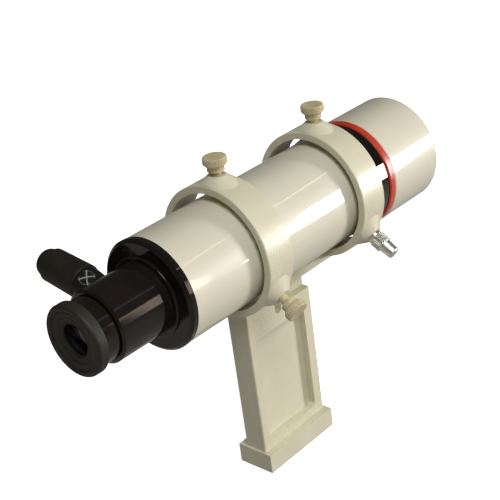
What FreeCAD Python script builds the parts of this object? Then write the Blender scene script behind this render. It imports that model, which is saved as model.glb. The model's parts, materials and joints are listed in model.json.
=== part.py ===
import FreeCAD, Part
import math
import os

import Sketcher

# Illuminated straight-through finder scope held in a two-ring bracket.
# Frame: +Y is the sight line towards the sky, +X is the observer's right hand, +Z is up.
# Origin: centre of the bracket foot's underside.
# Turned pieces are drawn about their own Z axis and laid along their real axis by their Placement.

doc = FreeCAD.newDocument("FinderScope")

# Driving dimensions: name, value in millimetres or degrees, what it is.
DIMENSIONS = [
    ("sight_height", 130.0, "foot underside to the telescope axis"),
    ("ring_lift", 1.0, "bracket ring axis above the telescope axis"),
    ("tube_rear", 74.5, "telescope tube's rear end behind the foot centre"),
    ("tube_radius", 28.2, "main tube outside"),
    ("tube_wall", 1.6, "main tube wall"),
    ("tube_length", 131.0, "main tube"),
    ("cell_radius", 29.0, "objective cell band"),
    ("cell_front", 146.4, "front of the objective cell band"),
    ("neck_radius", 28.2, "objective cell neck that carries ring and shield"),
    ("neck_length", 12.0, "objective cell neck"),
    ("spigot_length", 10.0, "cell and flange spigots inside the tube"),
    ("cell_bore", 24.6, "objective cell bore behind the lenses"),
    ("lens_radius", 26.0, "objective lenses"),
    ("lens_seat", 134.0, "objective lens seat"),
    ("lens_curve", 120.0, "objective surface radius"),
    ("flint_middle", 3.0, "flint lens middle thickness"),
    ("crown_edge", 2.4, "crown lens edge thickness"),
    ("retainer_length", 5.0, "objective retaining ring"),
    ("accent_length", 4.2, "accent ring"),
    ("shield_radius", 30.0, "dew shield outside"),
    ("shield_wall", 1.8, "dew shield wall"),
    ("shield_length", 38.6, "dew shield"),
    ("shield_round", 0.8, "dew shield front edge"),
    ("lining_wall", 0.6, "dew shield lining"),
    ("baffle_bore", 16.0, "tube baffle opening"),
    ("baffle_place", 72.0, "tube baffle from the tube's rear"),
    ("baffle_thickness", 1.5, "tube baffle"),
    ("flange_radius", 28.4, "rear flange outside"),
    ("flange_length", 4.2, "rear flange rim"),
    ("flange_boss_radius", 20.6, "rear flange raised centre"),
    ("flange_boss", 1.4, "rear flange raised centre height"),
    ("flange_bevel", 1.6, "rear flange edge bevel"),
    ("barrel_radius", 18.2, "eyepiece housing outside"),
    ("barrel_rear", 36.4, "eyepiece housing rear face behind the tube's rear"),
    ("barrel_bevel", 1.0, "eyepiece housing rear edge bevel"),
    ("barrel_bore", 13.5, "eyepiece housing bore"),
    ("track_radius", 14.0, "spigot that the focus ring turns on"),
    ("track_length", 6.4, "focus ring spigot"),
    ("slide_radius", 12.0, "sliding lens cell outside"),
    ("slide_length", 20.0, "sliding lens cell"),
    ("slide_rear", 45.4, "sliding lens cell rear face behind the tube's rear"),
    ("running", 0.08, "radial running clearance"),
    ("focus_radius", 16.1, "focus ring outside"),
    ("focus_length", 8.4, "focus ring"),
    ("cup_radius", 17.8, "eyecup outside"),
    ("cup_length", 5.4, "eyecup"),
    ("cup_hole", 7.8, "eyecup sight hole"),
    ("cup_round", 1.8, "eyecup outer edges"),
    ("eye_lens_radius", 9.6, "eye lens"),
    ("field_lens_radius", 10.6, "field lens"),
    ("eye_curve", 26.0, "eyepiece lens surface radius"),
    ("reticle_place", 15.2, "reticle behind the tube's rear"),
    ("reticle_radius", 11.0, "reticle glass"),
    ("reticle_thickness", 1.5, "reticle glass"),
    ("reticle_seat", 1.4, "reticle cell seat and retainer"),
    ("light_hole", 0.6, "light hole radius in the reticle cell"),
    ("lamp_tilt", 10.2, "illuminator above the horizontal, degrees"),
    ("lamp_thread", 6.0, "illuminator thread radius"),
    ("lamp_neck", 6.9, "illuminator neck radius beside the barrel"),
    ("lamp_neck_wide", 8.4, "illuminator neck radius beside the knob"),
    ("lamp_neck_end", 29.4, "illuminator neck's outer shoulder from the telescope axis"),
    ("lamp_sleeve", 7.2, "illuminator inner sleeve radius"),
    ("lamp_sleeve_end", 51.4, "illuminator inner sleeve end from the telescope axis"),
    ("knob_inner_radius", 8.9, "dimmer knob radius beside the neck"),
    ("knob_outer_radius", 8.5, "dimmer knob radius beside the cap"),
    ("knob_start", 29.7, "dimmer knob's near face from the telescope axis"),
    ("knob_end", 52.7, "dimmer knob's far face from the telescope axis"),
    ("band_start", 20.6, "label band's near edge from the telescope axis"),
    ("band_length", 8.2, "label band on the illuminator neck"),
    ("band_depth", 0.5, "label band groove"),
    ("cap_radius", 7.0, "battery cap"),
    ("cap_length", 5.4, "battery cap beyond the knob"),
    ("cap_round", 3.2, "battery cap end"),
    ("battery_radius", 5.8, "button cell"),
    ("battery_thickness", 2.7, "button cell"),
    ("ring_bore", 31.15, "bracket ring bore radius"),
    ("ring_radius", 34.8, "bracket ring outside radius"),
    ("ring_width", 17.4, "bracket ring along the axis"),
    ("ring_round", 0.6, "bracket ring outer edges"),
    ("stalk_round", 0.8, "stalk's tall corners"),
    ("boss_inset", 0.6, "boss sides inside the ring faces"),
    ("rear_ring", 51.2, "rear ring middle from the tube's rear"),
    ("front_ring", 125.1, "front ring middle from the tube's rear"),
    ("boss_height", 38.1, "boss top from the ring axis"),
    ("boss_radius", 4.7, "boss top"),
    ("boss_low", 32.0, "boss cone's buried end from the ring axis"),
    ("boss_angle", 32.0, "lower bosses below the horizontal, degrees"),
    ("boss_slope", 40.0, "boss flank below the horizontal, degrees"),
    ("stalk_thickness", 13.4, "stalk and joining bar across"),
    ("stalk_length", 49.2, "stalk along the sight line"),
    ("bar_top", 31.5, "joining bar's top below the ring axis"),
    ("bar_height", 4.3, "joining bar"),
    ("foot_width", 22.0, "foot across"),
    ("foot_length", 52.0, "foot along the sight line"),
    ("foot_height", 11.0, "foot"),
    ("pocket_depth", 4.2, "stalk side pocket"),
    ("pocket_bottom", 15.7, "stalk side pocket floor above the foot underside"),
    ("pocket_top", 77.0, "stalk side pocket ceiling above the foot underside"),
    ("pocket_rear", 19.8, "stalk side pocket rear wall behind the foot centre"),
    ("pocket_front", 18.4, "stalk side pocket front wall ahead of the foot centre"),
    ("pocket_corner", 3.0, "stalk side pocket corners"),
    ("relief_floor", 87.2, "shoulder above the foot underside"),
    ("relief_depth", 4.4, "recess between shoulder and bar"),
    ("relief_rear", 3.1, "recess rear end behind the foot centre"),
    ("notch_width", 4.6, "notch at the recess rear end"),
    ("notch_bottom", 83.5, "notch bottom above the foot underside"),
    ("foot_thread", 2.5, "foot tapped hole radius"),
    ("foot_thread_depth", 9.0, "foot tapped hole depth"),
    ("foot_thread_gap", 30.0, "foot tapped holes apart"),
    ("screw_gap", 0.25, "tip pad to tube"),
    ("screw_radius", 2.5, "thumbscrew shank"),
    ("pad_radius", 2.4, "tip pad"),
    ("pad_length", 1.4, "tip pad"),
    ("pad_stem", 1.2, "tip pad stem radius"),
    ("pad_stem_length", 3.0, "tip pad stem"),
    ("collar_start", 12.9, "thumbscrew collar from the pad face"),
    ("collar_radius", 4.3, "thumbscrew collar"),
    ("collar_length", 2.3, "thumbscrew collar"),
    ("head_radius", 6.0, "thumbscrew head"),
    ("head_length", 4.9, "thumbscrew head"),
    ("head_bevel", 1.5, "thumbscrew head underside bevel"),
    ("collar_foot_radius", 3.1, "thumbscrew collar's tapered foot"),
    ("collar_foot", 0.9, "length of the collar's tapered foot"),
    ("flute_radius", 0.35, "thumbscrew and plunger grip flutes"),
    ("plunger_thread", 3.4, "plunger housing thread radius"),
    ("plunger_start", 33.0, "plunger housing's inner end from the ring axis"),
    ("plunger_nut_start", 38.2, "plunger lock nut's inner face from the ring axis"),
    ("plunger_nut_radius", 4.0, "plunger lock nut"),
    ("plunger_nut_length", 1.6, "plunger lock nut"),
    ("grip_start", 39.9, "plunger grip from the ring axis"),
    ("grip_radius", 4.5, "plunger grip"),
    ("grip_length", 5.6, "plunger grip"),
    ("tail_radius", 3.7, "plunger tail beside the grip"),
    ("tail_end_radius", 3.3, "plunger tail end"),
    ("tail_end", 52.6, "plunger tail end from the ring axis"),
    ("tail_bevel", 0.6, "plunger tail end bevel"),
    ("pin_radius", 1.9, "plunger pin"),
    ("pin_length", 10.0, "plunger pin"),
    ("spring_wire", 0.25, "plunger spring wire radius"),
]


class Size:
    """A dimension as a number, with the spreadsheet expression that gives it."""

    def __init__(self, value, text):
        self.value = value
        self.text = text

    def __add__(self, other):
        other = as_size(other)
        return Size(self.value + other.value, f"({self.text} + {other.text})")

    def __sub__(self, other):
        other = as_size(other)
        return Size(self.value - other.value, f"({self.text} - {other.text})")

    def __rsub__(self, other):
        return as_size(other) - self

    def __mul__(self, other):
        other = as_size(other)
        return Size(self.value * other.value, f"({self.text} * {other.text})")

    def __truediv__(self, other):
        other = as_size(other)
        return Size(self.value / other.value, f"({self.text} / {other.text})")

    __radd__ = __add__
    __rmul__ = __mul__


def as_size(number):
    return number if isinstance(number, Size) else Size(float(number), repr(float(number)))


class Sizes:
    """The driving dimensions, one attribute for each spreadsheet alias."""


sheet = doc.addObject("Spreadsheet::Sheet", "Sizes")
size = Sizes()
for row, (alias, number, note) in enumerate(DIMENSIONS, start=1):
    sheet.set(f"A{row}", note)
    sheet.set(f"B{row}", str(number))
    sheet.setAlias(f"B{row}", alias)
    setattr(size, alias, Size(number, f"Sizes.{alias}"))
doc.recompute()

FORWARD = FreeCAD.Vector(0, 1, 0)
UP = FreeCAD.Vector(0, 0, 1)

# Directions of the bosses round a ring, in degrees from +X towards +Z.
BOSSES = {"top": 90, "right": 0 - size.boss_angle.value, "left": 180 + size.boss_angle.value}
ring_axis_height = size.sight_height + size.ring_lift
sub_parts = []


# ---------------------------------------------------------------- drawing helpers

def bind(thing, path, dimension):
    """Gives one property its size from the spreadsheet."""
    thing.setExpression(path, as_size(dimension).text)


def aimed(start, direction):
    """The placement that puts a piece's own Z axis along a direction from a point."""
    return FreeCAD.Placement(start, FreeCAD.Rotation(UP, direction))


def on_tube(distance):
    """The point of the telescope axis this far ahead of the tube's rear end."""
    ahead = as_size(distance).value - size.tube_rear.value
    return FreeCAD.Vector(0, ahead, size.sight_height.value)


def around_ring(place, degrees):
    """A ring's centre, and its outward direction at an angle from +X towards +Z."""
    centre = FreeCAD.Vector(0, place.value - size.tube_rear.value, ring_axis_height.value)
    angle = math.radians(degrees)
    return centre, FreeCAD.Vector(math.cos(angle), 0, math.sin(angle))


def sub_part(thing, label, placement=None):
    """Registers a finished piece under its node name."""
    thing.Label = label
    if placement is not None:
        thing.Placement = placement
    sub_parts.append(thing)
    return thing


def pin_point(sketch, line, coordinate, axis, kind):
    """Holds the start of a line at a distance from the sketch origin, or on a sketch axis."""
    if abs(coordinate.value) < 1e-9:
        sketch.addConstraint(Sketcher.Constraint("PointOnObject", line, 1, axis))
        return
    index = sketch.addConstraint(Sketcher.Constraint(kind, -1, 1, line, 1, coordinate.value))
    sketch.setExpression(f"Constraints[{index}]", coordinate.text)


def turned(label, outline, placement, rounds=(), bevels=()):
    """A body of revolution. The outline is a closed list of (radius, height) corners.

    Rounds and bevels are (radius of the edge, its height, amount).
    """
    body = doc.addObject("PartDesign::Body", label)
    sketch = body.newObject("Sketcher::SketchObject", label + "_outline")
    plane = [item for item in body.Origin.OriginFeatures if item.Role == "XZ_Plane"][0]
    sketch.AttachmentSupport = [(plane, "")]
    sketch.MapMode = "FlatFace"
    corners = [(as_size(radius), as_size(height)) for radius, height in outline]
    points = [FreeCAD.Vector(radius.value, height.value, 0) for radius, height in corners]
    count = len(points)
    for index in range(count):
        sketch.addGeometry(Part.LineSegment(points[index], points[(index + 1) % count]))
    for index in range(count):
        sketch.addConstraint(Sketcher.Constraint("Coincident", index, 2, (index + 1) % count, 1))
    for index, (radius, height) in enumerate(corners):
        pin_point(sketch, index, radius, -2, "DistanceX")
        pin_point(sketch, index, height, -1, "DistanceY")
    turning = body.newObject("PartDesign::Revolution", label + "_turning")
    turning.Profile = sketch
    turning.ReferenceAxis = (sketch, ["V_Axis"])
    turning.Angle = 360
    doc.recompute()
    for kind, property_name, edges in (("Fillet", "Radius", rounds), ("Chamfer", "Size", bevels)):
        for radius, height, amount in edges:
            base = body.Tip
            names = rim_edges(base.Shape, as_size(radius).value, as_size(height).value)
            dressing = body.newObject("PartDesign::" + kind, f"{label}_{kind.lower()}")
            dressing.Base = (base, names)
            bind(dressing, property_name, amount)
            doc.recompute()
    return sub_part(body, label, placement)


def rim_edges(shape, radius, height):
    """The names of the full circles of one radius at one height about the Z axis."""
    names = []
    for index, edge in enumerate(shape.Edges, start=1):
        if not isinstance(edge.Curve, Part.Circle):
            continue
        if abs(edge.Curve.Radius - radius) < 0.01 and abs(edge.Curve.Center.z - height) < 0.01:
            names.append(f"Edge{index}")
    return names


def tube_outline(inner, outer, start, end):
    return [(inner, start), (outer, start), (outer, end), (inner, end)]


def drilled(body, label, radius, length, placement, pattern=0):
    """Cuts a cylinder out of a body, once or evenly spaced about the body's Z axis."""
    before = body.Shape.Volume
    hole = body.newObject("PartDesign::SubtractiveCylinder", label)
    bind(hole, "Radius", radius)
    bind(hole, "Height", length)
    hole.Placement = placement
    doc.recompute()
    if pattern:
        ring = body.newObject("PartDesign::PolarPattern", label + "_around")
        ring.Originals = [hole]
        axis = [item for item in body.Origin.OriginFeatures if item.Role == "Z_Axis"][0]
        ring.Axis = (axis, [""])
        ring.Angle = 360
        ring.Occurrences = pattern
        body.Tip = ring
        doc.recompute()
    if not body.Shape.Volume < before - 1e-3:
        raise RuntimeError(label + " removed nothing")


def rod(label, radius, height, placement=None):
    item = doc.addObject("Part::Cylinder", label)
    bind(item, "Radius", radius)
    bind(item, "Height", height)
    if placement is not None:
        item.Placement = placement
    return item


def ball(label, radius, centre):
    item = doc.addObject("Part::Sphere", label)
    bind(item, "Radius", radius)
    item.Placement.Base = centre
    return item


def block(label, length, width, height, corner):
    """A box from its lowest corner: along X, along Y, along Z."""
    item = doc.addObject("Part::Box", label)
    bind(item, "Length", length)
    bind(item, "Width", width)
    bind(item, "Height", height)
    item.Placement.Base = FreeCAD.Vector(*[as_size(value).value for value in corner])
    return item


def joined(label, shapes):
    item = doc.addObject("Part::MultiFuse", label)
    item.Shapes = shapes
    item.Refine = True
    return item


def cut(label, base, tool):
    item = doc.addObject("Part::Cut", label)
    item.Base = base
    item.Tool = tool
    item.Refine = True
    return item


def common(label, shapes):
    item = doc.addObject("Part::MultiCommon", label)
    item.Shapes = shapes
    item.Refine = True
    return item


def rounded(label, base, radius, chosen):
    """Rounds the edges of a shape that the test picks."""
    doc.recompute()
    edges = [index for index, edge in enumerate(base.Shape.Edges, start=1) if chosen(edge)]
    if not edges:
        raise RuntimeError(label + " found no edge")
    item = doc.addObject("Part::Fillet", label)
    item.Base = base
    item.Edges = [(index, radius.value, radius.value) for index in edges]
    doc.recompute()
    return item


# ---------------------------------------------------------------- telescope tube

def make_tube():
    inner = size.tube_radius - size.tube_wall
    along = aimed(on_tube(0), FORWARD)
    turned("main_tube", tube_outline(inner, size.tube_radius, 0, size.tube_length), along)
    turned("tube_baffle", tube_outline(size.baffle_bore, inner, 0, size.baffle_thickness),
           aimed(on_tube(size.baffle_place), FORWARD))


def make_rear_flange():
    """A stepped disc, closed round the eyepiece housing, with a spigot in the tube."""
    inner = size.tube_radius - size.tube_wall
    bore = size.barrel_radius - 2
    back = size.flange_length + size.flange_boss
    total = back + size.spigot_length
    outline = [
        (bore, 0), (size.flange_boss_radius, 0),
        (size.flange_boss_radius, size.flange_boss), (size.flange_radius, size.flange_boss),
        (size.flange_radius, back), (inner, back),
        (inner, total), (inner - 2, total), (inner - 2, back), (bore, back),
    ]
    turned("rear_flange", outline, aimed(on_tube(0 - back), FORWARD),
           bevels=[(size.flange_radius, size.flange_boss, size.flange_bevel)],
           rounds=[(size.flange_boss_radius, 0, size.flange_boss * 0.4)])


def make_objective():
    inner = size.tube_radius - size.tube_wall
    step = size.cell_front - size.tube_length
    seat = size.lens_seat - size.tube_length
    cell_bottom = size.spigot_length
    outline = [
        (size.cell_bore, 0), (inner, 0), (inner, cell_bottom), (size.cell_radius, cell_bottom),
        (size.cell_radius, cell_bottom + step), (size.neck_radius, cell_bottom + step),
        (size.neck_radius, cell_bottom + step + size.neck_length),
        (size.lens_radius, cell_bottom + step + size.neck_length),
        (size.lens_radius, cell_bottom + seat), (size.cell_bore, cell_bottom + seat),
    ]
    turned("objective_cell", outline, aimed(on_tube(size.tube_length - cell_bottom), FORWARD))

    sag = size.lens_curve.value - math.sqrt(size.lens_curve.value ** 2 - size.lens_radius.value ** 2)
    blank = rod("flint_blank", size.lens_radius, size.flint_middle + sag)
    hollow = ball("flint_hollow", size.lens_curve,
                  FreeCAD.Vector(0, 0, size.flint_middle.value + size.lens_curve.value))
    sub_part(cut("flint_lens", blank, hollow), "flint_lens", aimed(on_tube(size.lens_seat), FORWARD))

    crown_height = size.crown_edge + 2 * sag
    blank = rod("crown_blank", size.lens_radius, crown_height)
    rear_face = ball("crown_rear_face", size.lens_curve, FreeCAD.Vector(0, 0, size.lens_curve.value))
    front_face = ball("crown_front_face", size.lens_curve,
                      FreeCAD.Vector(0, 0, crown_height.value - size.lens_curve.value))
    sub_part(common("crown_lens", [blank, rear_face, front_face]), "crown_lens",
             aimed(on_tube(size.lens_seat + size.flint_middle), FORWARD))

    bore_sag = size.lens_curve.value - math.sqrt(size.lens_curve.value ** 2 - size.cell_bore.value ** 2)
    retainer_start = size.lens_seat + size.flint_middle + crown_height - bore_sag
    turned("objective_retainer",
           tube_outline(size.cell_bore, size.lens_radius, 0, size.retainer_length),
           aimed(on_tube(retainer_start), FORWARD),
           bevels=[(size.cell_bore, size.retainer_length, 0.6)])


def make_dew_shield():
    inner = size.shield_radius - size.shield_wall
    start = size.cell_front + size.accent_length
    turned("accent_ring", tube_outline(size.neck_radius, size.shield_radius, 0, size.accent_length),
           aimed(on_tube(size.cell_front), FORWARD),
           bevels=[(size.shield_radius, 0, 0.5), (size.shield_radius, size.accent_length, 0.5)])
    turned("dew_shield", tube_outline(inner, size.shield_radius, 0, size.shield_length),
           aimed(on_tube(start), FORWARD),
           rounds=[(size.shield_radius, size.shield_length, size.shield_round),
                   (inner, size.shield_length, size.shield_round * 0.6)],
           bevels=[(size.shield_radius, 0, 0.4)])
    lining_start = size.cell_front + size.neck_length
    lining_length = size.shield_length + size.accent_length - size.neck_length - 1.5
    turned("shield_lining", tube_outline(inner - size.lining_wall, inner, 0, lining_length),
           aimed(on_tube(lining_start), FORWARD))


# ---------------------------------------------------------------- eyepiece

def lamp_turn():
    """Turns the drill of a piece laid along the sight line towards the illuminator."""
    tilt = math.radians(size.lamp_tilt.value)
    return FreeCAD.Rotation(UP, FreeCAD.Vector(-math.cos(tilt), -math.sin(tilt), 0))


def make_eyepiece_housing():
    """The large barrel, with the spigot that the focus ring turns on and the lamp's thread."""
    front = size.flange_length + size.flange_boss
    reach = size.barrel_rear + size.track_length
    step = size.track_length
    slide_bore = size.slide_radius + size.running
    stop = reach - size.reticle_place - size.reticle_seat - size.reticle_thickness / 2
    outline = [
        (slide_bore, 0), (size.track_radius, 0), (size.track_radius, step),
        (size.barrel_radius, step), (size.barrel_radius, reach - front),
        (size.barrel_radius - 2, reach - front), (size.barrel_radius - 2, reach),
        (size.barrel_bore, reach), (size.barrel_bore, stop), (slide_bore, stop),
    ]
    body = turned("eyepiece_housing", outline, aimed(on_tube(0 - reach), FORWARD),
                  bevels=[(size.barrel_radius, step, size.barrel_bevel)])
    start = FreeCAD.Vector(0, 0, (reach - size.reticle_place).value)
    drilled(body, "lamp_thread_hole", size.lamp_thread, size.barrel_radius + 4,
            FreeCAD.Placement(start, lamp_turn()))


def make_reticle():
    """The reticle glass in its cell, with a light hole in line with the lamp."""
    outer = size.barrel_bore
    seat = size.reticle_seat
    height = seat + size.reticle_thickness
    middle = seat + size.reticle_thickness / 2
    start = 0 - size.reticle_place - middle
    body = turned("reticle_cell", [
        (size.reticle_radius - 1, 0), (outer, 0), (outer, height), (size.reticle_radius, height),
        (size.reticle_radius, seat), (size.reticle_radius - 1, seat),
    ], aimed(on_tube(start), FORWARD))
    drilled(body, "light_hole", size.light_hole, outer + 1,
            FreeCAD.Placement(FreeCAD.Vector(0, 0, middle.value), lamp_turn()))
    turned("reticle_glass", [
        (0, 0), (size.reticle_radius, 0), (size.reticle_radius, size.reticle_thickness),
        (0, size.reticle_thickness),
    ], aimed(on_tube(start + seat), FORWARD))
    turned("reticle_retainer", tube_outline(size.reticle_radius - 1.6, outer, 0, size.reticle_seat),
           aimed(on_tube(start + height), FORWARD))


def make_focus_ring():
    gap = 0.2
    start = size.barrel_rear + gap + size.focus_length
    bore = size.track_radius + size.running
    lip = size.slide_radius + 0.4
    turned("focus_ring", [
        (lip, 0), (size.focus_radius, 0), (size.focus_radius, size.focus_length),
        (bore, size.focus_length), (bore, 1.6), (lip, 1.6),
    ], aimed(on_tube(0 - start), FORWARD),
        bevels=[(size.focus_radius, size.focus_length, 0.4)])
    rear = start + size.cup_length
    wall_front = 3.0
    inside = size.slide_radius + 0.5
    turned("eyecup", [
        (size.cup_hole, 2.0), (size.cup_hole + 0.8, 1.4), (size.cup_hole + 3.2, 1.4),
        (size.cup_hole + 3.8, 0.7), (size.cup_radius - 3.2, 0.7), (size.cup_radius - 2.6, 0.0),
        (size.cup_radius, 0.0), (size.cup_radius, size.cup_length + 0.8),
        (size.focus_radius, size.cup_length + 0.8), (size.focus_radius, size.cup_length),
        (inside, size.cup_length), (inside, wall_front), (size.cup_hole, wall_front),
    ], aimed(on_tube(0 - rear), FORWARD),
        rounds=[(size.cup_radius, 0, size.cup_round), (size.cup_radius, size.cup_length + 0.8, 1.2)])


def eyepiece_lens(label, radius, middle, place):
    """A biconvex lens from two balls and a rod."""
    blank = rod(label + "_blank", radius, middle)
    rear_face = ball(label + "_rear_face", size.eye_curve, FreeCAD.Vector(0, 0, size.eye_curve.value))
    front_face = ball(label + "_front_face", size.eye_curve,
                      FreeCAD.Vector(0, 0, middle - size.eye_curve.value))
    sub_part(common(label, [blank, rear_face, front_face]), label, aimed(on_tube(place), FORWARD))


def make_lens_cell():
    """The sleeve that slides as the focus ring turns, with its two lenses and their spacer."""
    rear = 0 - size.slide_rear
    inner = size.field_lens_radius
    lip = 0.6
    turned("lens_cell", [
        (size.eye_lens_radius - 1.2, 0), (size.slide_radius, 0), (size.slide_radius, size.slide_length),
        (inner, size.slide_length), (inner, 7.0), (size.eye_lens_radius, 7.0),
        (size.eye_lens_radius, lip), (size.eye_lens_radius - 1.2, lip),
    ], aimed(on_tube(rear), FORWARD))
    eyepiece_lens("eye_lens", size.eye_lens_radius, 5.6, rear + lip)
    turned("lens_spacer", tube_outline(inner - 1.4, inner, 0, 6.0), aimed(on_tube(rear + 7.0), FORWARD))
    eyepiece_lens("field_lens", size.field_lens_radius, 5.8, rear + 12.2)


# ---------------------------------------------------------------- reticle illuminator

def along_lamp(distance):
    """The placement of a turned piece this far out on the illuminator's axis."""
    tilt = math.radians(size.lamp_tilt.value)
    outward = FreeCAD.Vector(-math.cos(tilt), 0, math.sin(tilt))
    return aimed(on_tube(0 - size.reticle_place) + outward * as_size(distance).value, outward)


def make_illuminator():
    start = size.barrel_radius - 2.4
    bore = 5.2
    shoulder = size.barrel_radius + 0.6 - start
    neck_end = size.lamp_neck_end - start
    sleeve_end = size.lamp_sleeve_end - start
    battery_bore = size.battery_radius + 0.2
    band = size.band_start - start
    band_end = band + size.band_length
    taper = (size.lamp_neck_wide - size.lamp_neck) / (neck_end - shoulder)

    def skin(height):
        return size.lamp_neck + taper * (height - shoulder)

    depth = size.band_depth
    turned("illuminator_neck", [
        (3.0, 0), (size.lamp_thread, 0), (size.lamp_thread, shoulder), (size.lamp_neck, shoulder),
        (skin(band), band), (skin(band) - depth, band), (skin(band_end) - depth, band_end),
        (skin(band_end), band_end), (size.lamp_neck_wide, neck_end),
        (size.lamp_sleeve, neck_end), (size.lamp_sleeve, sleeve_end),
        (battery_bore, sleeve_end), (battery_bore, neck_end + 6), (bore, neck_end + 6),
        (bore, shoulder + 2), (3.0, shoulder + 2),
    ], along_lamp(start))
    turned("dial_band", [
        (skin(band) - depth, 0), (skin(band), 0), (skin(band_end), size.band_length),
        (skin(band_end) - depth, size.band_length),
    ], along_lamp(size.band_start))
    turned("indicator_diode", [
        (0, 0), (1.6, 0.4), (2.4, 1.6), (2.4, 6.2), (4.0, 6.2), (4.0, 7.2), (0, 7.2),
    ], along_lamp(start - 1.0))
    turned("lamp_circuit_board", [(0, 0), (bore, 0), (bore, 1.2), (0, 1.2)],
           along_lamp(size.lamp_neck_end + 1))

    make_dimmer_knob()
    cells_start = size.lamp_neck_end + 7.6
    cells = [rod(f"button_cell_{index}", size.battery_radius, size.battery_thickness,
                 FreeCAD.Placement(FreeCAD.Vector(0, 0, index * (size.battery_thickness.value + 0.02)),
                                   FreeCAD.Rotation()))
             for index in range(2)]
    group = doc.addObject("Part::Compound", "button_cells")
    group.Links = cells
    sub_part(group, "button_cells", along_lamp(cells_start))

    thread = 4.4
    cap_start = size.knob_end - thread
    disc_start = cap_start - 1.2
    turned("battery_contact", [
        (0, 0), (size.battery_radius - 0.2, 0), (size.battery_radius - 0.2, 1.0), (2.0, 1.0),
        (2.0, 4.0), (0, 4.0),
    ], along_lamp(disc_start))
    spring_start = cells_start + 2 * size.battery_thickness + 0.1
    coil_spring("battery_spring", 3.6, 0.3, disc_start - 0.1 - spring_start, 5,
                along_lamp(spring_start))

    bore = 2.1
    flange = thread + 0.3
    turned("battery_cap", [
        (bore, 0), (size.battery_radius, 0), (size.battery_radius, flange), (size.cap_radius, flange),
        (size.cap_radius, flange + size.cap_length), (0, flange + size.cap_length), (0, 3.2), (bore, 3.2),
    ], along_lamp(cap_start),
        rounds=[(size.cap_radius, flange + size.cap_length, size.cap_round)])


def make_dimmer_knob():
    """The slightly tapered knob that turns round the sleeve."""
    length = size.knob_end - size.knob_start
    bore = size.lamp_sleeve + size.running
    turned("dimmer_knob", [
        (bore, 0), (size.knob_inner_radius, 0), (size.knob_outer_radius, length), (bore, length),
    ], along_lamp(size.knob_start),
        bevels=[(size.knob_inner_radius, 0, 0.5)],
        rounds=[(size.knob_outer_radius, length, 0.8)])


def coil_spring(label, radius, wire, length, turns, placement):
    """A round-wire spring about its own Z axis, as one swept helix."""
    height = as_size(length).value
    wire_radius = as_size(wire).value
    coil_radius = as_size(radius).value - wire_radius
    rise = height - 2 * wire_radius
    path = Part.makeHelix(rise / turns, rise, coil_radius)
    path.translate(FreeCAD.Vector(0, 0, wire_radius))
    section = Part.Wire(Part.makeCircle(wire_radius, FreeCAD.Vector(coil_radius, 0, wire_radius), FORWARD))
    item = doc.addObject("Part::Feature", label)
    item.Shape = Part.Wire(path.Edges).makePipeShell([section], True, True)
    return sub_part(item, label, placement)


# ---------------------------------------------------------------- bracket

def make_bracket():
    half = size.stalk_thickness / 2
    pieces = []
    for name, place in (("rear", size.rear_ring), ("front", size.front_ring)):
        pieces += bracket_ring(name, place)
    first = size.rear_ring - size.tube_rear
    span = size.front_ring - size.rear_ring
    bar_bottom = ring_axis_height - size.bar_top - size.bar_height
    pieces.append(block("joining_bar", size.stalk_thickness, span, size.bar_height,
                        (half * -1, first, bar_bottom)))
    stalk_top = ring_axis_height - size.bar_top
    pieces.append(block("stalk", size.stalk_thickness, size.stalk_length, stalk_top - size.foot_height + 1,
                        (half * -1, size.stalk_length / -2, size.foot_height - 1)))
    foot = block("foot", size.foot_width, size.foot_length, size.foot_height,
                 (size.foot_width / -2, size.foot_length / -2, 0))
    pieces.append(foot)
    solid = joined("bracket_solid", pieces)

    tools = [rod("ring_bores", size.ring_bore, span + 2 * size.ring_width,
                 aimed(FreeCAD.Vector(0, (first - size.ring_width).value, ring_axis_height.value), FORWARD))]
    tools += bracket_screw_holes()
    tools += stalk_recesses(half, bar_bottom)
    for side in (-1, 1):
        tools.append(rod(f"foot_thread_{side}", size.foot_thread, size.foot_thread_depth,
                         FreeCAD.Placement(FreeCAD.Vector(0, side * size.foot_thread_gap.value / 2, 0),
                                           FreeCAD.Rotation())))
    bracket = cut("bracket_cut", solid, joined("bracket_tools", tools))

    def stalk_edge(edge):
        """The stalk's four tall corners."""
        box = edge.BoundBox
        upright = box.ZLength > 20 and box.XLength < 0.1 and box.YLength < 0.1
        outer = abs(abs(box.XMin) - half.value) < 0.1 and abs(abs(box.YMin) - size.stalk_length.value / 2) < 0.1
        return upright and outer

    softened = rounded("bracket_soft_stalk", bracket, size.stalk_round, stalk_edge)
    sub_part(softened, "bracket")


def bracket_ring(name, place):
    """One ring as a rounded disc, with the three flared screw bosses on it."""
    centre, _ = around_ring(place, 0)
    back = centre - FORWARD * (size.ring_width.value / 2)
    disc = rod(name + "_ring_disc", size.ring_radius, size.ring_width, aimed(back, FORWARD))
    disc = rounded(name + "_ring", disc, size.ring_round, lambda edge: isinstance(edge.Curve, Part.Circle))
    flare = 1 / math.tan(math.radians(size.boss_slope.value))
    low = size.boss_low
    trim = size.ring_width - 2 * size.boss_inset
    bosses = []
    for word, degrees in BOSSES.items():
        centre, outward = around_ring(place, degrees)
        cone = doc.addObject("Part::Cone", f"{name}_boss_cone_{word}")
        bind(cone, "Radius1", size.boss_radius + flare * (size.boss_height - low))
        bind(cone, "Radius2", size.boss_radius)
        bind(cone, "Height", size.boss_height - low)
        cone.Placement = aimed(centre + outward * low.value, outward)
        slab = rod(f"{name}_boss_slab_{word}", size.boss_height + 6, trim,
                   aimed(centre - FORWARD * (trim.value / 2), FORWARD))
        bosses.append(common(f"{name}_boss_{word}", [cone, slab]))
    return [disc] + bosses


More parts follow.
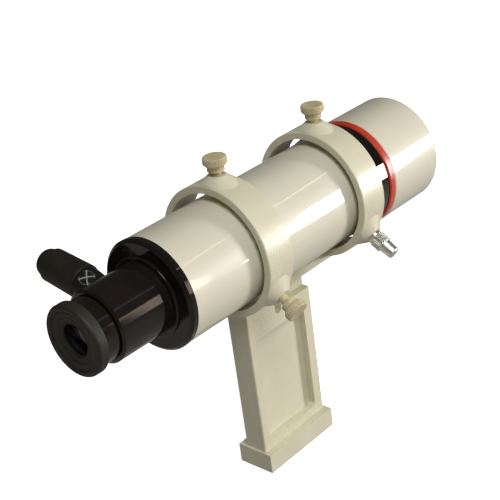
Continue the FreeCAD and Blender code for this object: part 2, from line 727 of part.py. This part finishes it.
def bracket_screw_holes():
    tools = []
    for name, place in (("rear", size.rear_ring), ("front", size.front_ring)):
        for word, degrees in BOSSES.items():
            centre, outward = around_ring(place, degrees)
            plunger = name == "front" and word == "right"
            radius = size.plunger_thread if plunger else size.screw_radius + size.running
            tools.append(rod(f"{name}_screw_hole_{word}", radius, size.boss_height - 20 + 6,
                             aimed(centre + outward * 20, outward)))
    return tools


def stalk_recesses(half, bar_bottom):
    """The side pocket with rounded corners, the shoulder recess and its round-ended notch."""
    pocket = block("pocket_block", size.pocket_depth + 1, size.pocket_rear + size.pocket_front,
                   size.pocket_top - size.pocket_bottom,
                   (half - size.pocket_depth, size.pocket_rear * -1, size.pocket_bottom))
    pocket = rounded("side_pocket", pocket, size.pocket_corner,
                     lambda edge: edge.BoundBox.XLength > 5)
    depth = size.relief_depth
    recess = block("shoulder_recess", depth + 1, size.relief_rear + size.stalk_length / 2 + 1,
                   bar_bottom - size.relief_floor, (half - depth, size.relief_rear * -1, size.relief_floor))
    notch_depth = depth + 1.6
    notch_radius = size.notch_width / 2
    notch = block("notch_slot", notch_depth + 1, size.notch_width,
                  bar_bottom - size.notch_bottom - notch_radius,
                  (half - notch_depth, size.relief_rear * -1, size.notch_bottom + notch_radius))
    end = FreeCAD.Vector((half - notch_depth).value, (notch_radius - size.relief_rear).value,
                         (size.notch_bottom + notch_radius).value)
    notch_end = rod("notch_end", notch_radius, notch_depth + 1, aimed(end, FreeCAD.Vector(1, 0, 0)))
    return [pocket, recess, notch, notch_end]


# ---------------------------------------------------------------- adjusting screws and plunger

def contact_distance(degrees):
    """From the ring axis out to the tube's skin, which sits a little low in the rings."""
    drop = size.ring_lift.value
    angle = math.radians(degrees)
    toward = -drop * math.sin(angle)
    return toward + math.sqrt(size.tube_radius.value ** 2 - drop ** 2 + toward ** 2)


def make_thumbscrew(name, place, degrees):
    centre, outward = around_ring(place, degrees)
    start = centre + outward * (contact_distance(degrees) + size.screw_gap.value)
    where = aimed(start, outward)
    stem_end = size.pad_length + size.pad_stem_length
    turned(f"{name}_pad", [
        (0, 0), (size.pad_radius, 0), (size.pad_radius, size.pad_length), (size.pad_stem, size.pad_length),
        (size.pad_stem, stem_end), (0, stem_end),
    ], where, rounds=[(size.pad_radius, 0, 0.4)])
    socket = size.pad_stem + size.running
    near = size.pad_length + 0.1
    head_start = size.collar_start + size.collar_length
    top = head_start + size.head_length
    screw = turned(f"{name}_screw", [
        (socket, near), (size.screw_radius, near), (size.screw_radius, size.collar_start - size.collar_foot),
        (size.collar_foot_radius, size.collar_start - size.collar_foot),
        (size.collar_radius, size.collar_start), (size.collar_radius, head_start),
        (size.head_radius - size.head_bevel, head_start),
        (size.head_radius, head_start + size.head_bevel), (size.head_radius, top),
        (0, top), (0, stem_end + 0.1), (socket, stem_end + 0.1),
    ], where, rounds=[(size.head_radius, top, 0.8)])
    drilled(screw, f"{name}_flute", size.flute_radius, size.head_length,
            FreeCAD.Placement(FreeCAD.Vector(size.head_radius.value + 0.1, 0, head_start.value),
                              FreeCAD.Rotation()), pattern=24)


def make_plunger():
    degrees = BOSSES["right"]
    centre, outward = around_ring(size.front_ring, degrees)
    start = size.plunger_start
    nut = size.plunger_nut_start - start
    grip = size.grip_start - start
    grip_end = grip + size.grip_length
    end = size.tail_end - start
    bore = size.pin_radius + size.running
    where = aimed(centre + outward * start.value, outward)
    housing = turned("plunger_housing", [
        (bore, 0), (size.plunger_thread, 0), (size.plunger_thread, grip), (size.grip_radius, grip),
        (size.grip_radius, grip_end), (size.tail_radius, grip_end), (size.tail_end_radius, end),
        (0, end), (0, end - 1.4), (bore, end - 1.4),
    ], where, bevels=[(size.tail_end_radius, end, size.tail_bevel),
                      (size.grip_radius, grip, 0.4), (size.grip_radius, grip_end, 0.4)])
    drilled(housing, "plunger_flute", size.flute_radius, size.grip_length,
            FreeCAD.Placement(FreeCAD.Vector(size.grip_radius.value + 0.1, 0, grip.value),
                              FreeCAD.Rotation()), pattern=20)
    turned("plunger_lock_nut",
           tube_outline(size.plunger_thread, size.plunger_nut_radius, 0, size.plunger_nut_length),
           aimed(centre + outward * (start + nut).value, outward),
           bevels=[(size.plunger_nut_radius, 0, 0.3),
                   (size.plunger_nut_radius, size.plunger_nut_length, 0.3)])
    contact = contact_distance(degrees) + size.screw_gap.value
    turned("plunger_pin", [
        (0, 0), (size.pin_radius, 0), (size.pin_radius, size.pin_length), (0, size.pin_length),
    ], aimed(centre + outward * contact, outward), rounds=[(size.pin_radius, 0, 0.6)])
    spring_start = contact + size.pin_length.value + 0.1
    spring_length = size.tail_end.value - 1.5 - spring_start
    coil_spring("plunger_spring", size.pin_radius, size.spring_wire, spring_length, 9,
                aimed(centre + outward * spring_start, outward))


make_tube()
make_rear_flange()
make_objective()
make_dew_shield()
make_eyepiece_housing()
make_reticle()
make_focus_ring()
make_lens_cell()
make_illuminator()
make_bracket()
for word, degrees in BOSSES.items():
    make_thumbscrew("rear_" + word, size.rear_ring, degrees)
    if word != "right":
        make_thumbscrew("front_" + word, size.front_ring, degrees)
make_plunger()

doc.recompute()
for item in doc.Objects:
    if "Invalid" in item.State or "Error" in item.State:
        raise RuntimeError(f"{item.Name} failed: {item.State}")
for item in sub_parts:
    if item.Shape.isNull() or not item.Shape.isValid():
        raise RuntimeError(f"{item.Label} has no valid shape")

os.makedirs("parts", exist_ok=True)
for item in sub_parts:
    item.Shape.exportStep(f"parts/{item.Label}.step")
    print(f"{item.Label}: {item.Shape.Volume:.1f} mm3, {len(item.Shape.Solids)} solid(s)")
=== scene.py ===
import bpy
import json
import math
from mathutils import Matrix, Vector


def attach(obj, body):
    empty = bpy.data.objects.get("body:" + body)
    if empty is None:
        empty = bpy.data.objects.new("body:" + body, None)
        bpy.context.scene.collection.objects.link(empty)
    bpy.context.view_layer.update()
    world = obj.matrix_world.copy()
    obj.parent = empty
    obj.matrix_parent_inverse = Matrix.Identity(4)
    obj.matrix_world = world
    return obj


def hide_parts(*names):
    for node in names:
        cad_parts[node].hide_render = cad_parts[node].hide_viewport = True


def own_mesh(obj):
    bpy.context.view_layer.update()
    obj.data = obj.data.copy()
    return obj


# Illuminated finder scope: materials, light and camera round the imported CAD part.
# Frame in metres: +Y sight line, +X observer's right, +Z up, origin under the bracket foot.

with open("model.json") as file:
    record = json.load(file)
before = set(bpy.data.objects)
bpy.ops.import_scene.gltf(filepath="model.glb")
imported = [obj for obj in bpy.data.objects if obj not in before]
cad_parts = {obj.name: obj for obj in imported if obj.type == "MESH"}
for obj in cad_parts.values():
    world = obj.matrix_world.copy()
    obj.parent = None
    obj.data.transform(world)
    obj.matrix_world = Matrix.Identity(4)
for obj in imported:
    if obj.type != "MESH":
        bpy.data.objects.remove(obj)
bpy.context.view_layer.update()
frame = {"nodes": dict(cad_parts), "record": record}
nodes = frame["nodes"]

AXIS_HEIGHT = 0.130          # telescope axis above the foot's underside
LAMP_Y = -0.0897             # where the illuminator's axis leaves the telescope axis
LAMP_TILT = math.radians(10.2)  # illuminator above the horizontal
BAND_MIDDLE = 0.0247         # label band's middle out along the illuminator
BAND_RADIUS = 0.0077         # label band's outside, about the illuminator's axis
SIGN_TURN = math.radians(-25)  # where the crosshair sign sits round the neck
RING_HEIGHT = 0.131          # ring axis above the foot's underside
FRONT_RING_Y = 0.0506        # front ring's middle ahead of the foot centre
BOSS_ANGLE = math.radians(32)  # plunger below the horizontal
GRIP_START = 0.0401          # plunger grip out from the ring axis
GRIP_END = 0.0453
GRIP_RIBS = 16
RIB_DEPTH = 0.0004
CHROME = (0.88, 0.86, 0.82)
CUP_RIDGE_PITCH = 0.0026     # eyecup's concentric ridges, one to the next

# The sign on the label band: a crosshair of two slanted bars in a broken circle.
SIGN_BAR_HALF_WIDTH = 0.00045
SIGN_BAR_REACH = 0.0058
SIGN_CIRCLE_OUTER = 0.0038
SIGN_CIRCLE_INNER = 0.0035
SIGN_CIRCLE_BREAK = 0.0016


# ---------------------------------------------------------------- node helpers

class Paint:
    """One material with its principled shader and small helpers to feed it."""

    def __init__(self, name, colour, roughness, metallic=0.0, coat=0.0, coat_roughness=0.03, shine=0.5):
        self.material = bpy.data.materials.new(name)
        self.material.use_nodes = True
        self.tree = self.material.node_tree
        self.shader = self.tree.nodes["Principled BSDF"]
        self.shader.inputs["Base Color"].default_value = (*colour, 1.0)
        self.shader.inputs["Roughness"].default_value = roughness
        self.shader.inputs["Metallic"].default_value = metallic
        self.shader.inputs["Coat Weight"].default_value = coat
        self.shader.inputs["Coat Roughness"].default_value = coat_roughness
        self.shader.inputs["Specular IOR Level"].default_value = shine
        self.coordinates = self.tree.nodes.new("ShaderNodeTexCoord").outputs["Object"]

    def node(self, kind, **settings):
        item = self.tree.nodes.new(kind)
        for key, value in settings.items():
            setattr(item, key, value)
        return item

    def link(self, start, end):
        self.tree.links.new(start, end)

    def math(self, operation, first, second=None):
        item = self.node("ShaderNodeMath", operation=operation)
        for socket, value in zip(item.inputs, (first, second)):
            if value is None:
                continue
            if isinstance(value, (int, float)):
                socket.default_value = value
            else:
                self.link(value, socket)
        return item.outputs[0]

    def noise(self, scale, detail=2.0, stretch=(1, 1, 1), roughness=0.5):
        mapping = self.node("ShaderNodeMapping")
        mapping.inputs["Scale"].default_value = stretch
        self.link(self.coordinates, mapping.inputs["Vector"])
        item = self.node("ShaderNodeTexNoise")
        item.inputs["Scale"].default_value = scale
        item.inputs["Detail"].default_value = detail
        item.inputs["Roughness"].default_value = roughness
        self.link(mapping.outputs[0], item.inputs["Vector"])
        return item.outputs["Fac"]

    def ramp(self, value, low, high, out_low=0.0, out_high=1.0):
        item = self.node("ShaderNodeMapRange")
        item.inputs["From Min"].default_value = low
        item.inputs["From Max"].default_value = high
        item.inputs["To Min"].default_value = out_low
        item.inputs["To Max"].default_value = out_high
        self.link(value, item.inputs["Value"])
        return item.outputs["Result"]

    def blend(self, factor, first, second):
        item = self.node("ShaderNodeMix", data_type="RGBA")
        self.link(factor, item.inputs["Factor"])
        for socket, value in ((item.inputs["A"], first), (item.inputs["B"], second)):
            if isinstance(value, tuple):
                socket.default_value = (*value, 1.0)
            else:
                self.link(value, socket)
        return item.outputs["Result"]

    def bump(self, height, distance, strength=1.0, below=None):
        item = self.node("ShaderNodeBump")
        item.inputs["Strength"].default_value = strength
        item.inputs["Distance"].default_value = distance
        self.link(height, item.inputs["Height"])
        if below is not None:
            self.link(below, item.inputs["Normal"])
        return item.outputs["Normal"]

    def colour(self, value):
        self.link(value, self.shader.inputs["Base Color"])

    def roughness(self, value):
        self.link(value, self.shader.inputs["Roughness"])

    def normal(self, value):
        self.link(value, self.shader.inputs["Normal"])

    def radius_from_sight_line(self):
        """Distance of a point from the telescope axis."""
        parts = self.node("ShaderNodeSeparateXYZ")
        self.link(self.coordinates, parts.inputs[0])
        across = self.math("POWER", parts.outputs["X"], 2.0)
        height = self.math("SUBTRACT", parts.outputs["Z"], AXIS_HEIGHT)
        return self.math("SQRT", self.math("ADD", across, self.math("POWER", height, 2.0)))

    def coordinates_along(self, start, outward):
        """Coordinates whose Z runs out from a point along a direction, and whose Y points ahead."""
        ahead = Vector((0, 1, 0))
        across = ahead.cross(outward)
        item = self.node("ShaderNodeMapping", vector_type="TEXTURE")
        turn = Matrix((across, ahead, outward)).transposed()
        item.inputs["Location"].default_value = start
        item.inputs["Rotation"].default_value = turn.to_euler("XYZ")
        self.link(self.coordinates, item.inputs["Vector"])
        return item.outputs[0]


def patchy_colour(paint, pale, deep, scale, detail=3.0):
    """Two close shades mixed by soft noise."""
    paint.colour(paint.blend(paint.ramp(paint.noise(scale, detail), 0.35, 0.65), pale, deep))


# ---------------------------------------------------------------- finishes

def cream_enamel():
    """Glossy sprayed enamel with fine dust specks."""
    paint = Paint("cream_enamel", (0.70, 0.67, 0.55), 0.40, coat=1.0, coat_roughness=0.012)
    soft = paint.ramp(paint.noise(22), 0.3, 0.7)
    shade = paint.blend(soft, (0.715, 0.680, 0.560), (0.685, 0.650, 0.530))
    specks = paint.ramp(paint.noise(2600, 1.0), 0.70, 0.78)
    paint.colour(paint.blend(paint.math("MULTIPLY", specks, 0.20), shade, (0.45, 0.40, 0.30)))
    ripple = paint.bump(paint.noise(160, 1.0), 0.00002, 0.10)
    paint.normal(paint.bump(paint.noise(900, 1.0), 0.00001, 0.20, ripple))
    return paint.material


def bracket_paint():
    """Satin paint over a sand casting, with a fine pebbled skin."""
    paint = Paint("bracket_paint", (0.66, 0.63, 0.48), 0.38, coat=0.30, coat_roughness=0.22)
    patchy_colour(paint, (0.675, 0.640, 0.495), (0.640, 0.605, 0.460), 60)
    below = paint.bump(paint.noise(480, 2.0), 0.00010, 0.30)
    paint.normal(paint.bump(paint.noise(1150, 1.0), 0.00018, 0.9, below))
    return paint.material


def black_anodised():
    """Turned and black anodised, with faint lathe lines round the sight line."""
    paint = Paint("black_anodised", (0.012, 0.009, 0.007), 0.09, shine=0.38)
    patchy_colour(paint, (0.0130, 0.0098, 0.0080), (0.0100, 0.0075, 0.0062), 90)
    turning = paint.noise(260, 2.0, stretch=(0.02, 24, 0.02))
    paint.roughness(paint.ramp(paint.noise(150, 3.0), 0.3, 0.7, 0.06, 0.11))
    paint.normal(paint.bump(turning, 0.00002, 0.12))
    return paint.material


def black_lacquer():
    """The objective cell's polished band."""
    paint = Paint("black_lacquer", (0.005, 0.004, 0.004), 0.03, coat=0.6, coat_roughness=0.01)
    patchy_colour(paint, (0.0055, 0.0045, 0.0040), (0.0040, 0.0032, 0.0030), 90)
    paint.normal(paint.bump(paint.noise(900, 1.0), 0.000004, 0.15))
    return paint.material


def lining_black():
    """Matt black paint inside the tubes."""
    paint = Paint("lining_black", (0.012, 0.012, 0.012), 0.8)
    patchy_colour(paint, (0.014, 0.014, 0.014), (0.008, 0.008, 0.008), 200)
    paint.normal(paint.bump(paint.noise(3000, 1.0), 0.00005, 0.5))
    return paint.material


def accent_red():
    """The red ring behind the dew shield."""
    paint = Paint("accent_red", (0.55, 0.045, 0.02), 0.36, coat=0.25, coat_roughness=0.22)
    patchy_colour(paint, (0.56, 0.050, 0.022), (0.48, 0.035, 0.016), 80)
    paint.normal(paint.bump(paint.noise(1500, 1.0), 0.00002, 0.4))
    return paint.material


def cup_rubber():
    """Matte rubber with shallow concentric ridges on the eye side."""
    paint = Paint("cup_rubber", (0.020, 0.018, 0.014), 0.55, shine=0.36)
    patchy_colour(paint, (0.0225, 0.0200, 0.0150), (0.0165, 0.0145, 0.0110), 120)
    radius = paint.radius_from_sight_line()
    ridges = paint.math("SINE", paint.math("MULTIPLY", radius, 2 * math.pi / CUP_RIDGE_PITCH))
    below = paint.bump(ridges, 0.00018, 0.55)
    paint.normal(paint.bump(paint.noise(2200, 2.0), 0.00006, 0.5, below))
    return paint.material


def knob_black():
    """Matt plastic of the dimmer knob and the battery cap."""
    paint = Paint("knob_black", (0.018, 0.016, 0.012), 0.55, shine=0.25)
    patchy_colour(paint, (0.021, 0.019, 0.014), (0.015, 0.013, 0.010), 150)
    paint.normal(paint.bump(paint.noise(2500, 2.0), 0.00005, 0.5))
    return paint.material


def dial_black():
    """The label band: a pale crosshair sign in a broken circle, printed on black."""
    paint = Paint("dial_black", (0.012, 0.011, 0.010), 0.40, shine=0.3)
    parts = paint.node("ShaderNodeSeparateXYZ")
    outward = Vector((-math.cos(LAMP_TILT), 0, math.sin(LAMP_TILT)))
    paint.link(paint.coordinates_along((0, LAMP_Y, AXIS_HEIGHT), outward), parts.inputs[0])
    angle = paint.math("ARCTAN2", parts.outputs["Y"], parts.outputs["X"])
    around = paint.math("MULTIPLY", paint.math("SUBTRACT", angle, SIGN_TURN), BAND_RADIUS)
    along = paint.math("SUBTRACT", parts.outputs["Z"], BAND_MIDDLE)
    rising = paint.math("ABSOLUTE", paint.math("ADD", around, along))
    falling = paint.math("ABSOLUTE", paint.math("SUBTRACT", around, along))
    first = paint.math("MULTIPLY", paint.math("LESS_THAN", rising, SIGN_BAR_HALF_WIDTH),
                       paint.math("LESS_THAN", falling, SIGN_BAR_REACH))
    second = paint.math("MULTIPLY", paint.math("LESS_THAN", falling, SIGN_BAR_HALF_WIDTH),
                        paint.math("LESS_THAN", rising, SIGN_BAR_REACH))
    reach = paint.math("SQRT", paint.math("ADD", paint.math("POWER", around, 2.0),
                                          paint.math("POWER", along, 2.0)))
    circle = paint.math("MULTIPLY", paint.math("LESS_THAN", reach, SIGN_CIRCLE_OUTER),
                        paint.math("GREATER_THAN", reach, SIGN_CIRCLE_INNER))
    broken = paint.math("GREATER_THAN", paint.math("ABSOLUTE", around), SIGN_CIRCLE_BREAK)
    drawn = paint.math("MAXIMUM", paint.math("MAXIMUM", first, second),
                       paint.math("MULTIPLY", paint.math("MULTIPLY", circle, broken), 0.5))
    worn = paint.math("MULTIPLY", drawn, paint.ramp(paint.noise(900, 2.0), 0.3, 0.5, 0.55, 0.9))
    paint.colour(paint.blend(worn, (0.012, 0.011, 0.010), (0.36, 0.39, 0.38)))
    return paint.material


def nylon_ivory():
    """Slightly translucent nylon of the thumbscrews."""
    paint = Paint("nylon_ivory", (0.58, 0.50, 0.31), 0.40)
    patchy_colour(paint, (0.62, 0.54, 0.34), (0.52, 0.44, 0.27), 180)
    paint.shader.inputs["Subsurface Weight"].default_value = 0.25
    paint.shader.inputs["Subsurface Radius"].default_value = (0.0015, 0.0011, 0.0006)
    paint.normal(paint.bump(paint.noise(1200, 2.0), 0.00005, 0.4))
    return paint.material


def metal(name, colour, roughness, scale=400.0):
    """Bare metal with fine uneven polish."""
    paint = Paint(name, colour, roughness, metallic=1.0)
    deep = tuple(0.8 * value for value in colour)
    patchy_colour(paint, colour, deep, scale)
    paint.roughness(paint.ramp(paint.noise(scale * 2, 3.0), 0.3, 0.7, roughness * 0.8, roughness * 1.3))
    paint.normal(paint.bump(paint.noise(scale * 4, 2.0), 0.00001, 0.3))
    return paint.material


def chromed_grip():
    """The plunger's chrome, with straight ribs round its grip."""
    paint = Paint("chromed_grip", CHROME, 0.38, metallic=1.0)
    patchy_colour(paint, CHROME, (0.74, 0.72, 0.68), 400)
    outward = Vector((math.cos(BOSS_ANGLE), 0, -math.sin(BOSS_ANGLE)))
    parts = paint.node("ShaderNodeSeparateXYZ")
    paint.link(paint.coordinates_along((0, FRONT_RING_Y, RING_HEIGHT), outward), parts.inputs[0])
    angle = paint.math("ARCTAN2", parts.outputs["Y"], parts.outputs["X"])
    ribs = paint.math("SINE", paint.math("MULTIPLY", angle, GRIP_RIBS))
    inside = paint.math("MULTIPLY", paint.math("GREATER_THAN", parts.outputs["Z"], GRIP_START),
                        paint.math("LESS_THAN", parts.outputs["Z"], GRIP_END))
    below = paint.bump(paint.math("MULTIPLY", ribs, inside), RIB_DEPTH, 1.0)
    paint.normal(paint.bump(paint.noise(1600, 2.0), 0.00001, 0.3, below))
    return paint.material


def coated_glass(name, clearness):
    """Lens glass with a faint green and violet coating."""
    paint = Paint(name, (clearness, clearness, clearness), 0.02)
    green = (0.95 * clearness, clearness, 0.95 * clearness)
    violet = (clearness, 0.95 * clearness, clearness)
    paint.colour(paint.blend(paint.ramp(paint.noise(40), 0.3, 0.7), green, violet))
    paint.shader.inputs["Transmission Weight"].default_value = 1.0
    paint.shader.inputs["IOR"].default_value = 1.52
    return paint.material


def diode_red():
    """Clear red plastic of the light-emitting diode."""
    paint = Paint("diode_red", (0.5, 0.01, 0.01), 0.12)
    patchy_colour(paint, (0.55, 0.012, 0.010), (0.40, 0.008, 0.008), 300)
    paint.shader.inputs["Transmission Weight"].default_value = 0.4
    return paint.material


def board_green():
    """The lamp circuit board."""
    paint = Paint("board_green", (0.02, 0.16, 0.05), 0.4)
    patchy_colour(paint, (0.02, 0.17, 0.05), (0.015, 0.12, 0.035), 500)
    return paint.material


FINISHES = {
    "cream_enamel": cream_enamel(),
    "bracket_paint": bracket_paint(),
    "black_anodised": black_anodised(),
    "black_lacquer": black_lacquer(),
    "lining_black": lining_black(),
    "accent_red": accent_red(),
    "cup_rubber": cup_rubber(),
    "knob_black": knob_black(),
    "dial_black": dial_black(),
    "nylon_ivory": nylon_ivory(),
    "chromed_steel": metal("chromed_steel", CHROME, 0.28),
    "chromed_grip": chromed_grip(),
    "spring_steel": metal("spring_steel", (0.55, 0.55, 0.55), 0.3),
    "brass_plain": metal("brass_plain", (0.60, 0.44, 0.17), 0.3),
    "cell_steel": metal("cell_steel", (0.6, 0.6, 0.6), 0.25),
    "coated_glass": coated_glass("coated_glass", 0.55),
    "eye_glass": coated_glass("eye_glass", 0.15),
    "diode_red": diode_red(),
    "board_green": board_green(),
}
# Nodes that take a finish of their own instead of their record slot's.
OWN_FINISH = {"objective_cell": "black_lacquer", "plunger_housing": "chromed_grip",
              "eye_lens": "eye_glass", "field_lens": "eye_glass"}
for part in frame["record"]["subparts"]:
    thing = nodes[part["node"]]
    finish = OWN_FINISH.get(part["node"], part["material_slot"])
    for slot in thing.material_slots:
        slot.material = FINISHES[finish]


# ---------------------------------------------------------------- plunger spring

def make_plunger_spring():
    """The spring in the plunger, copied from the packed part and attached to the bracket."""
    packed = nodes["plunger_spring"]
    spring = bpy.data.objects.new("plunger_spring_coil", packed.data.copy())
    bpy.context.scene.collection.objects.link(spring)
    spring.matrix_world = packed.matrix_world.copy()
    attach(spring, "bracket")
    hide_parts("plunger_spring")
    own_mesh(spring)


make_plunger_spring()


# ---------------------------------------------------------------- floor, light, camera

def surface_light(name, centre, target, width, height, power, colour, turn=0.0):
    """A rectangular soft light that faces a point, turned about its own beam."""
    lamp = bpy.data.lights.new(name, "AREA")
    lamp.shape = "RECTANGLE"
    lamp.size = width
    lamp.size_y = height
    lamp.energy = power
    lamp.color = colour
    thing = bpy.data.objects.new(name, lamp)
    bpy.context.scene.collection.objects.link(thing)
    beam = (Vector(target) - Vector(centre)).normalized()
    facing = beam.to_track_quat("-Z", "Y").to_matrix() @ Matrix.Rotation(turn, 3, "Z")
    thing.matrix_world = Matrix.Translation(centre) @ facing.to_4x4()
    return thing


def make_floor():
    """A pale plane just under the foot, bright enough to run into the background."""
    side = 30.0
    gap = 0.0002
    mesh = bpy.data.meshes.new("floor")
    corners = [(-side, -side, 0), (side, -side, 0), (side, side, 0), (-side, side, 0)]
    mesh.from_pydata(corners, [], [(0, 1, 2, 3)])
    floor = bpy.data.objects.new("floor", mesh)
    bpy.context.scene.collection.objects.link(floor)
    paint = Paint("floor_card", (0.9, 0.9, 0.9), 0.9)
    patchy_colour(paint, (0.92, 0.92, 0.915), (0.905, 0.905, 0.90), 3)
    mesh.materials.append(paint.material)
    floor.location.z = -gap
    paint.shader.inputs["Emission Color"].default_value = (1.0, 1.0, 1.0, 1.0)
    paint.shader.inputs["Emission Strength"].default_value = 0.80
    floor.visible_diffuse = False
    floor.visible_glossy = False


def make_lights():
    """Position, target, width, height, power and colour of each soft light."""
    middle = (0.0, 0.0, 0.12)
    key_turn = math.radians(-17)
    surface_light("key_softbox", (1.08, 1.116, 0.17), middle, 0.33, 0.54, 18.5, (1.0, 0.97, 0.94),
                  key_turn)
    surface_light("warm_card", (1.23, 0.78, 0.33), middle, 0.12, 0.55, 0.9, (1.0, 0.80, 0.68))
    surface_light("blue_card", (0.93, 0.70, 1.15), middle, 0.30, 0.14, 0.10, (0.35, 0.55, 1.0))
    surface_light("hairline_strip", (0.80, 1.15, 1.25), middle, 0.55, 0.012, 0.26, (1.0, 0.97, 0.94))
    surface_light("main_panel", (0.95, -0.45, 1.45), middle, 0.8, 0.8, 20.0, (1.0, 1.0, 0.96))
    fill = surface_light("side_fill", (-1.1, 0.5, 0.12), middle, 0.9, 0.9, 9.0, (1.0, 0.98, 0.94))
    fill.visible_glossy = False
    make_studio_air()


def make_studio_air():
    """The room's light: dim for what is lit or mirrored, pale where the camera looks past the floor."""
    world = bpy.data.worlds.new("studio")
    world.use_nodes = True
    tree = world.node_tree
    background = tree.nodes["Background"]
    seen = tree.nodes.new("ShaderNodeBackground")
    seen.inputs["Color"].default_value = (1.0, 1.0, 1.0, 1.0)
    background.inputs["Color"].default_value = (1.0, 0.97, 0.88, 1.0)
    direction = tree.nodes.new("ShaderNodeTexCoord")
    parts = tree.nodes.new("ShaderNodeSeparateXYZ")
    tree.links.new(direction.outputs["Generated"], parts.inputs[0])
    below = tree.nodes.new("ShaderNodeMapRange")
    below.inputs["From Min"].default_value = 0.05
    below.inputs["From Max"].default_value = -0.35
    below.inputs["To Min"].default_value = 0.06
    below.inputs["To Max"].default_value = 0.38
    tree.links.new(parts.outputs["Z"], below.inputs["Value"])
    tree.links.new(below.outputs["Result"], background.inputs["Strength"])
    path = tree.nodes.new("ShaderNodeLightPath")
    mix = tree.nodes.new("ShaderNodeMixShader")
    tree.links.new(path.outputs["Is Camera Ray"], mix.inputs["Fac"])
    tree.links.new(background.outputs[0], mix.inputs[1])
    tree.links.new(seen.outputs[0], mix.inputs[2])
    tree.links.new(mix.outputs[0], tree.nodes["World Output"].inputs["Surface"])
    bpy.context.scene.world = world


def make_camera():
    """The viewing position: above, to the right of and behind the eyepiece."""
    camera = bpy.data.cameras.new("camera")
    camera.sensor_width = 36.0
    camera.lens = 87.52
    camera.clip_start = 0.01
    camera.clip_end = 100.0
    thing = bpy.data.objects.new("camera", camera)
    bpy.context.scene.collection.objects.link(thing)
    forward = Vector((-0.6345, 0.63639, -0.43865)).normalized()
    right = Vector((0.7447, 0.6553, -0.1265))
    right = (right - forward * right.dot(forward)).normalized()
    up = right.cross(forward)
    turn = Matrix((right, up, -forward)).transposed()
    thing.matrix_world = Matrix.Translation((0.3849, -0.3943, 0.3880)) @ turn.to_4x4()
    bpy.context.scene.camera = thing


make_floor()
make_lights()
make_camera()
bpy.context.scene.view_settings.view_transform = "Standard"
